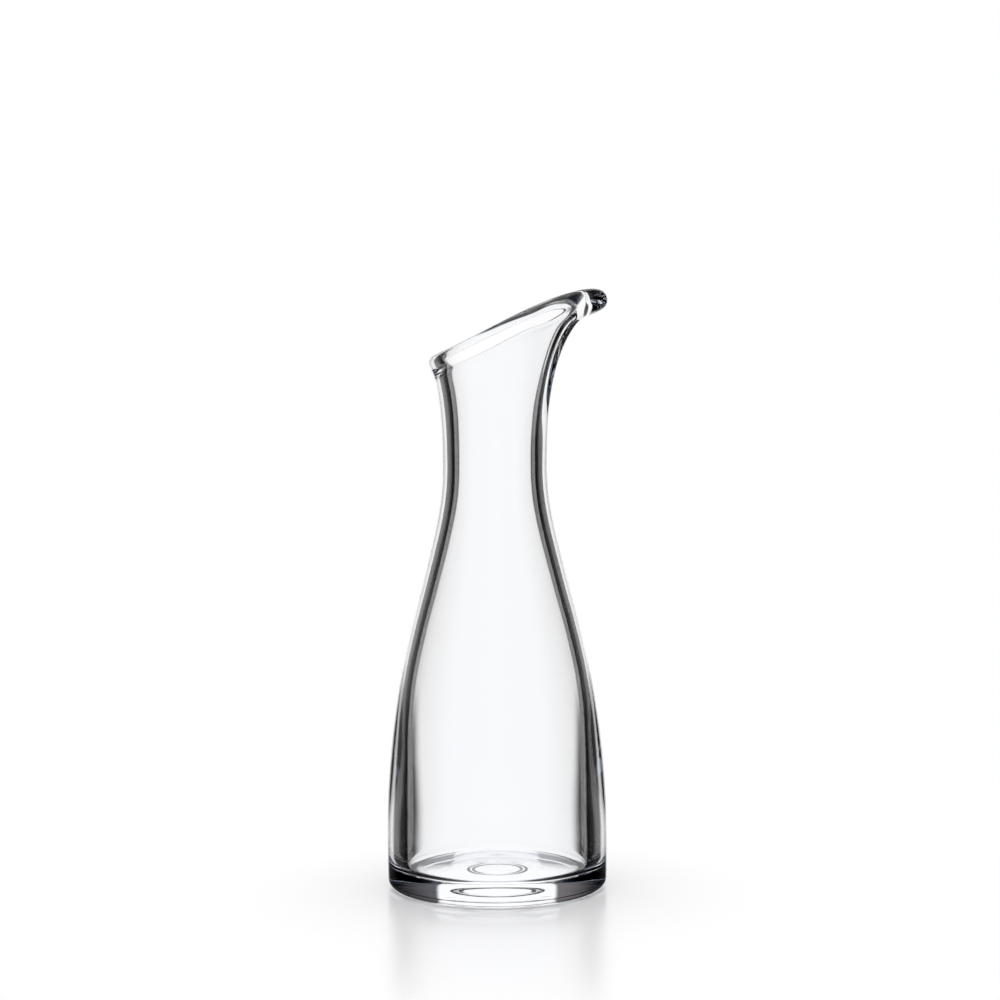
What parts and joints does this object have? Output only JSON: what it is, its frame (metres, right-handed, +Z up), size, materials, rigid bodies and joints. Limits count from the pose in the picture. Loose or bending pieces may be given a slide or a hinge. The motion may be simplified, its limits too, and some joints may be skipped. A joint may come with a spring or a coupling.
{
  "type": "glass carafe",
  "caption": "Clear glass carafe in one piece, with a thick foot, slender neck and a slanted mouth drawn out into a pouring lip.",
  "frame": {"origin": "centre of the foot, on the surface that the carafe stands on", "axes": "+Z up along the axis of the foot, belly and neck; +X from the axis towards the pouring lip"},
  "size_m": [0.1043, 0.1024, 0.2782],
  "materials": {
    "clear_glass": "fire-polished clear glass"
  },
  "bodies": {
    "root": {"carafe": "clear_glass"}
  },
  "joints": []
}
